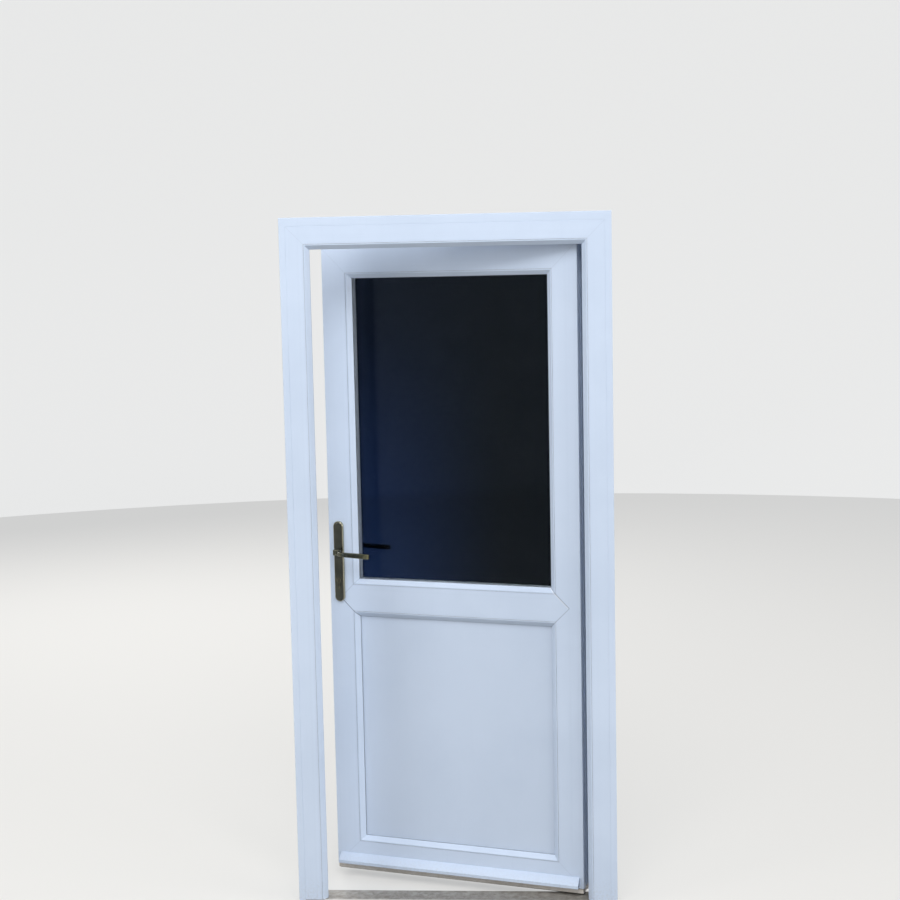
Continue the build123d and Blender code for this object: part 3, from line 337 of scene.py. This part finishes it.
def leaf_layers(finish, vector):
    """Die lines and welds of the leaf: its corners' mitres and the points of its mid rail, with a
    painted highlight beside the latter on the hinge side.

    Each weld is where a distance is 0: for a mitre, the inset from the leaf's side less that
    from its top or foot; for a point, the inset less the height above or below the mid rail.
    """
    x, _, z = finish.split(vector)
    inset = finish.minus(leaf_half_width, finish.size(x))
    top = finish.minus(inset, finish.minus(leaf_top, z))
    bottom = finish.minus(inset, finish.minus(z, leaf_foot))
    rise = finish.minus(z, mid_rail_height)
    arrow = finish.minus(finish.minus(inset, arrow_tip), finish.size(rise))
    deepest = finish.larger(finish.larger(top, bottom), arrow)
    draw_lines(finish, vector, finish.ramp(deepest, -hair, hair, 1.0, 0.0))
    mitre = finish.larger(finish.line(top, weld_line), finish.line(bottom, weld_line))
    finish.paint(finish.times(mitre, leaf_mitre_tone), white_weld)

    def by_half(lower, upper):
        """One tone below the mid rail's middle line and another above it."""
        return finish.ramp(rise, -arrow_change, arrow_change, lower, upper)

    hinge_side = finish.ramp(x, *side_change)
    lock_side = finish.ramp(x, *side_change, 1.0, 0.0)
    # Painted highlight: a light line beside the mid rail's welds, on the hinge side above its
    # middle line
    beside = finish.minus(finish.times(arrow, finish.math("SIGN", rise)), lit_offset)
    lit_tone = finish.times(by_half(*arrow_lit_at_hinge), hinge_side)
    finish.paint(finish.times(finish.line(beside, lit_line), lit_tone), weld_highlight)
    weld_tone = finish.plus(finish.times(by_half(*arrow_at_lock), lock_side),
                            finish.times(by_half(*arrow_at_hinge), hinge_side))
    finish.paint(finish.times(finish.line(arrow, arrow_line), weld_tone), white_weld)


def frame_layers(finish, vector):
    """Die lines of the outer frame, and the mitres of its two top corners."""
    x, _, z = finish.split(vector)
    inset = finish.minus(jamb_line, finish.size(x))
    corner = finish.minus(inset, finish.minus(frame_top, z))
    draw_lines(finish, vector, finish.ramp(corner, -hair, hair, 1.0, 0.0))
    finish.paint(finish.times(finish.line(corner, weld_line), frame_mitre_tone), white_weld)


def strip_layers(finish, vector):
    """Die lines of the strips round the outer frame."""
    height = finish.split(vector)[2]
    draw_lines(finish, vector, finish.ramp(height, frame_top - strip_mitre, frame_top, 1.0, 0.0))


def white_plastic(name, layers=None, place=Finish.place, tint=1.0):
    """Weathered white plastic: faint uneven patches, dust and painted shade in the corners,
    painted shade in fine creases, and splashed dirt near the foot.
    """
    finish = Finish(name, darker(white_clean, tint))
    vector = place(finish)
    patches = finish.noise(vector, patch_size, 5.0)
    finish.mottle(patches, 0.35, 0.7, patch_tone, white_dull)
    runs = finish.noise(finish.place(scale=(1, 1, run_squeeze)), run_width, 3.0)
    finish.mottle(runs, 0.55, 0.85, run_tone, white_dull)
    if layers:
        layers(finish, vector)
    specks = finish.noise(vector, speck_size, 6.0, 0.7)
    dust = finish.ramp(specks, 0.3, 0.7, *dust_and_shade_tones)
    # Dust with painted shade in the corners, then painted shade deep in fine creases and grooves
    finish.paint(finish.times(finish.corners(dust_and_shade_corner), dust), grime_and_shade)
    finish.paint(finish.times(finish.corners(crease_shade, 0.6), crease_shade_tone), grime_and_shade)
    foot = finish.ramp(finish.split(vector)[2], *splash_height, 1.0, 0.0)
    splashes = finish.ramp(specks, 0.4, 0.8, 0.0, splash_tone)
    finish.paint(finish.times(foot, splashes), foot_dirt)
    finish.grain(vector, 0.0012, *plastic_grain)
    finish.grain(vector, 0.12, *plastic_waves)
    return finish.done(finish.ramp(patches, 0.3, 0.7, 0.3, 0.42), Specular_IOR_Level=0.45)


def foot_plastic(name):
    """The strip under the leaf: white plastic under splashed, dried dirt, with a painted shadow
    along its top under the weather bar.
    """
    finish = Finish(name, strip_white)
    vector = finish.place()
    splashes = finish.noise(vector, 0.012, 6.0, 0.7)
    finish.paint(finish.ramp(splashes, 0.25, 0.7, 0.35, 0.95), strip_splash)
    finish.mottle(finish.noise(vector, 0.004, 5.0), 0.55, 0.8, 0.25, grime_and_shade)
    # Painted shadow along the strip's top, under the weather bar
    finish.mottle(finish.split(vector)[2], *strip_top_shadow, 0.6, grime_and_shade)
    finish.emboss(splashes, 0.0002, 0.3)
    return finish.done(0.6, Specular_IOR_Level=0.35)


# Other finishes

def rubber(name, colour):
    """Soft seal with a dusty bloom."""
    finish = Finish(name, colour)
    vector = finish.place()
    finish.mottle(finish.noise(vector, 0.01, 5.0), 0.45, 0.8, 0.3, rubber_bloom)
    finish.grain(vector, 0.0015, *rubber_grain, 3.0)
    return finish.done(0.65, Specular_IOR_Level=0.3)


def outer_glass(name):
    """A clear pane with a faint film of dust. The colour is what is left of light that passes."""
    finish = Finish(name, clear_pane)
    film = finish.ramp(finish.noise(finish.place(), 0.25), 0.35, 0.75, 0.012, 0.05)
    return finish.done(film, Transmission_Weight=1.0, IOR=glass_index, Specular_Tint=clear_gloss)


def inner_glass(name):
    """The inner pane: nearly black, a painted shade standing in for the dark room behind it, with
    a painted blue reflection towards its lower lock side.
    """
    finish = Finish(name, room_shade_pane)
    x, _, z = finish.split(leaf_place(finish))
    # Painted blue reflection, strongest towards the lower lock side
    side = finish.ramp(x, -glass_half_width, glass_half_width * 0.6, 1.0, 0.0)
    low = finish.ramp(z, glass_low, glass_high, 1.0, 0.12)
    finish.paint(finish.times(side, low), reflection_blue)
    return finish.done(0.02, Transmission_Weight=1.0, IOR=glass_index, Specular_Tint=dark_gloss)


def metal(name, colour, worn, roughness, patch=0.03):
    """Plated or bare metal: uneven tarnish and fine grain."""
    finish = Finish(name, colour)
    vector = finish.place()
    finish.mottle(finish.noise(vector, patch, 5.0), 0.35, 0.75, 1.0, worn)
    finish.grain(vector, 0.0008, *metal_grain)
    smear = finish.uneven(vector, patch * 0.4, roughness * 0.8, roughness * 1.3)
    return finish.done(smear, Metallic=1.0)


def brass_plate(name):
    """Brass gone brown-grey, browner in patches, with bright scratches round the keyhole and a
    painted highlight round its rim.

    The plate's outline is a run between two half circles, so its rim follows the distance to
    the middle line, which past the run's ends is the distance to the half circle's centre.
    """
    finish = Finish(name, plate_brass)
    vector = leaf_place(finish)
    x, _, z = finish.split(vector)
    finish.mottle(finish.noise(vector, 0.045, 5.0), 0.35, 0.75, 0.8, plate_brown)
    across = finish.minus(x, cylinder_x)
    away = finish.slant(across, finish.minus(z, cylinder_z))
    near = finish.ramp(away, *keyhole_scratched, 1.0, 0.0)
    scratches = finish.noise(finish.place(turn=0.5, scale=(1, 1, 0.12)), 0.0012, 3.0, 0.6)
    finish.paint(finish.times(near, finish.ramp(scratches, 0.58, 0.7, 0.0, 0.5)), plate_scratch)
    from_middle = finish.size(finish.minus(z, plate_middle))
    rim = finish.slant(across, finish.larger(finish.minus(from_middle, plate_half_run), 0.0))
    finish.emboss(finish.ramp(rim, *rim_fall, 1.0, 0.0), rim_height)
    # Painted highlight round the plate's rim
    finish.mottle(rim, *rim_highlight, 0.75, plate_rim_highlight)
    finish.grain(vector, 0.0008, *metal_grain)
    return finish.done(finish.uneven(vector, 0.01, 0.16, 0.26), Metallic=1.0)


def brass_lever(name):
    """The same brass, rubbed brighter and yellower where the hand closes on the grip's end."""
    finish = Finish(name, lever_brass)
    vector = leaf_place(finish)
    finish.mottle(finish.noise(vector, 0.02, 5.0), 0.35, 0.7, 0.8, lever_brown)
    along_grip = finish.place(turn=open_angle, scale=(0.12, 1, 1))
    finish.mottle(finish.noise(along_grip, 0.0022, 3.0, 0.6), 0.52, 0.66, 0.55, lever_streak)
    grip = finish.ramp(finish.split(vector)[0], *grip_rubbed)
    rubbed = finish.ramp(finish.noise(vector, 0.005), 0.35, 0.65, 0.1, 0.75)
    finish.paint(finish.times(grip, rubbed), lever_grip)
    finish.grain(vector, 0.0006, *metal_grain)
    return finish.done(finish.uneven(vector, 0.008, 0.14, 0.24), Metallic=1.0)


def worn_threshold(name):
    """Aluminium under years of dust: grey and matt, with painted shade in its corners and
    grooves, and lighter along its front top edge.
    """
    finish = Finish(name, dusty_aluminium)
    vector = finish.place()
    _, y, z = finish.split(vector)
    finish.mottle(finish.noise(vector, 0.02, 6.0, 0.7), 0.3, 0.7, 1.0, settled_dust)
    finish.mottle(finish.noise(vector, 0.005, 5.0, 0.7), 0.62, 0.72, 0.6, dirt_speck)
    # Painted shade in the threshold's corners and grooves
    finish.paint(finish.times(finish.corners(0.02), 0.8), grime_and_shade)
    # Lighter along the front top edge
    front = finish.ramp(y, *pale_edge_depth, 1.0, 0.0)
    finish.paint(finish.times(front, finish.ramp(z, *pale_edge_height)), pale_edge_aluminium)
    finish.grain(vector, 0.003, 0.0002, 0.4, 4.0)
    return finish.done(0.55, Metallic=0.3)


def plain_plastic(name, colour, roughness, **constants):
    """Clean moulded or coated surface, a little darker in patches."""
    finish = Finish(name, colour)
    finish.mottle(finish.noise(finish.place(), 0.02), 0.3, 0.7, 0.25, darker(colour, 0.8))
    return finish.done(roughness, **constants)


finish_choices = {
    "white_leaf": (white_plastic, {"layers": leaf_layers, "place": leaf_place}),
    "white_frame": (white_plastic, {"layers": frame_layers}),
    "white_strip": (white_plastic, {"layers": strip_layers}),
    "white_trim": (white_plastic, {}),
    "white_panel": (white_plastic, {"tint": 0.95}),
    "dirty_foot": (foot_plastic, {}),
    "white_coat": (plain_plastic, {"colour": white_clean, "roughness": 0.35}),
    "seal_black": (rubber, {"colour": shade(34, 36, 40)}),
    "seal_grey": (rubber, {"colour": shade(84, 90, 100)}),
    "unit_edge": (rubber, {"colour": shade(30, 31, 34)}),
    "outer_glass": (outer_glass, {}),
    "inner_glass": (inner_glass, {}),
    "spacer_metal": (plain_plastic, {"colour": shade(232, 238, 246), "roughness": 0.4,
                                     "Metallic": 0.25}),
    "threshold_metal": (worn_threshold, {}),
    "packer": (plain_plastic, {"colour": shade(60, 110, 170), "roughness": 0.5}),
    "nylon": (plain_plastic, {"colour": shade(222, 222, 214), "roughness": 0.45}),
    "zinc": (metal, {"colour": shade(176, 178, 180), "worn": shade(150, 150, 148),
                     "roughness": 0.38}),
    "old_brass": (brass_plate, {}),
    "lever_brass": (brass_lever, {}),
    "lock_brass": (metal, {"colour": shade(88, 86, 76), "worn": shade(62, 62, 57),
                           "roughness": 0.2, "patch": 0.012}),
}
slot_finish = {
    "zinc_steel": "zinc", "white_coated_steel": "white_coat", "black_rubber": "seal_black",
    "grey_rubber": "seal_grey", "unit_sealant": "unit_edge", "spacer_aluminium": "spacer_metal",
    "mill_aluminium": "threshold_metal", "packer_plastic": "packer", "bush_nylon": "nylon",
    "cap_plastic": "white_coat", "dark_brass": "old_brass", "dull_brass": "lock_brass",
    "white_pvc": "white_trim", "clear_glass": "outer_glass",
}
node_finish = {
    "leaf_frame": "white_leaf", "outer_frame": "white_frame", "infill_panel": "white_panel",
    "left_frame_strip": "white_strip", "right_frame_strip": "white_strip",
    "head_frame_strip": "white_strip", "foot_strip": "dirty_foot", "inner_pane": "inner_glass",
    "outside_lever": "lever_brass", "inside_lever": "lever_brass",
}


def dress_nodes(frame):
    """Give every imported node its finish, by its name or by its material slot."""
    made = {name: maker(name, **choices) for name, (maker, choices) in finish_choices.items()}
    slots = {entry["node"]: entry["material_slot"] for entry in frame["record"]["subparts"]}
    for name, node in frame["nodes"].items():
        finish = made[node_finish.get(name, slot_finish[slots[name]])]
        if not node.material_slots:
            node.data.materials.append(finish)
        for slot in node.material_slots:
            slot.material = finish


# Studio

def seen_directly(nodes, unseen, seen):
    """One strength for rays that show a surface to the camera, straight, mirrored or through
    glass, and another for the rays that only light the door."""
    rays = nodes.add("LightPath").outputs
    bounced = nodes.larger(rays["Is Glossy Ray"], rays["Is Transmission Ray"])
    return nodes.ramp(nodes.larger(rays["Is Camera Ray"], bounced), 0.0, 1.0, unseen, seen)


def backdrop_finish(name, brightness):
    """A pale matt surface that is seen nearly white, with soft shadows left on it."""
    finish = Finish(name, backdrop_paint)
    finish.join(seen_directly(finish, 0.0, brightness), finish.shader.inputs["Emission Strength"])
    return finish.done(0.9, Specular_IOR_Level=0.1, Emission_Color=backdrop_glow)


def turned_sheet(name, radii, heights, finish):
    """A sheet of revolution about Z: each row of points is a circle, x = r cos a, y = r sin a."""
    angles = np.arange(circle_steps) * 2 * math.pi / circle_steps
    x = np.outer(radii, np.cos(angles))
    y = np.outer(radii, np.sin(angles))
    z = np.repeat(np.asarray(heights)[:, None], circle_steps, axis=1)
    points = np.stack([x, y, z], axis=-1).reshape(-1, 3)
    rows, columns = np.arange(len(radii) - 1), np.arange(circle_steps)
    row, column = np.meshgrid(rows, columns, indexing="ij")
    inner, outer = row * circle_steps, (row + 1) * circle_steps
    after = (column + 1) % circle_steps
    loops = [inner + column, outer + column, outer + after, inner + after]
    faces = np.stack(loops, axis=-1).reshape(-1, 4)
    mesh = bpy.data.meshes.new(name)
    mesh.from_pydata(points.tolist(), [], faces.tolist())
    mesh.polygons.foreach_set("use_smooth", [True] * len(faces))
    mesh.materials.append(finish)
    sheet = bpy.data.objects.new(name, mesh)
    bpy.context.scene.collection.objects.link(sheet)
    return sheet


def studio_room():
    """A pale round floor, and a wall all round it that starts as a quarter circle."""
    turned_sheet("studio_floor", [0.01, floor_reach], [0.0, 0.0],
                 backdrop_finish("floor_paint", floor_glow))
    turn = np.linspace(0.0, math.pi / 2, bend_steps)
    radii = np.append(floor_reach + floor_bend * np.sin(turn), floor_reach + floor_bend)
    heights = np.append(floor_bend - floor_bend * np.cos(turn), wall_top)
    wall = turned_sheet("studio_wall", radii, heights, backdrop_finish("wall_paint", wall_glow))
    wall.visible_diffuse = False
    wall.visible_shadow = False


def studio_light():
    """An even sky from all round, and four large soft lamps that the camera doesn't see."""
    scene = bpy.context.scene
    scene.world = bpy.data.worlds.new("studio")
    scene.world.use_nodes = True
    sky = Nodes(scene.world.node_tree)
    background = sky.tree.nodes["Background"]
    background.inputs["Color"].default_value = sky_colour
    sky.join(seen_directly(sky, world_light, world_seen), background.inputs["Strength"])
    for name, (place, target, size, power) in lamps.items():
        data = bpy.data.lights.new(name, "AREA")
        data.shape = "RECTANGLE"
        data.size, data.size_y = size
        data.energy = power
        lamp = bpy.data.objects.new(name, data)
        aim = Vector(target) - Vector(place)
        lamp.location = place
        lamp.rotation_euler = aim.to_track_quat("-Z", "Y").to_euler()
        lamp.visible_camera = False
        scene.collection.objects.link(lamp)


def camera_axes():
    """The camera's right, up and backward directions from its yaw, pitch and roll."""
    forward = Vector((math.sin(camera_yaw) * math.cos(camera_pitch),
                      math.cos(camera_yaw) * math.cos(camera_pitch), math.sin(camera_pitch)))
    level = Vector((math.cos(camera_yaw), -math.sin(camera_yaw), 0.0))
    upright = level.cross(forward)
    right = math.cos(camera_roll) * level + math.sin(camera_roll) * upright
    up = math.cos(camera_roll) * upright - math.sin(camera_roll) * level
    return right, up, -forward


def place_camera():
    """Stand the camera where the photograph was taken from, with the same angle of view."""
    data = bpy.data.cameras.new("camera")
    data.sensor_width = sensor_width
    data.lens = camera_focal_pixels / picture_pixels * sensor_width
    data.clip_end = camera_reach
    camera = bpy.data.objects.new("camera", data)
    turn = Matrix(camera_axes()).transposed()
    camera.matrix_world = Matrix.Translation(camera_place) @ turn.to_4x4()
    bpy.context.scene.collection.objects.link(camera)
    bpy.context.scene.camera = camera


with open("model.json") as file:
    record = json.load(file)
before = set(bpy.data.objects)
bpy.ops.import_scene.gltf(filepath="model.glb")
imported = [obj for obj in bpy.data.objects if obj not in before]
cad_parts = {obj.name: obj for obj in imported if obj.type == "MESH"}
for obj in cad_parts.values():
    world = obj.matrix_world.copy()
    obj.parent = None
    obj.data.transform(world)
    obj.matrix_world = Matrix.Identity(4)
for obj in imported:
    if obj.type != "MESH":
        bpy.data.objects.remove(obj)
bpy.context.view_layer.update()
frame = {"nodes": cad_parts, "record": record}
dress_nodes(frame)
studio_room()
studio_light()
place_camera()
bpy.context.scene.view_settings.view_transform = "Standard"
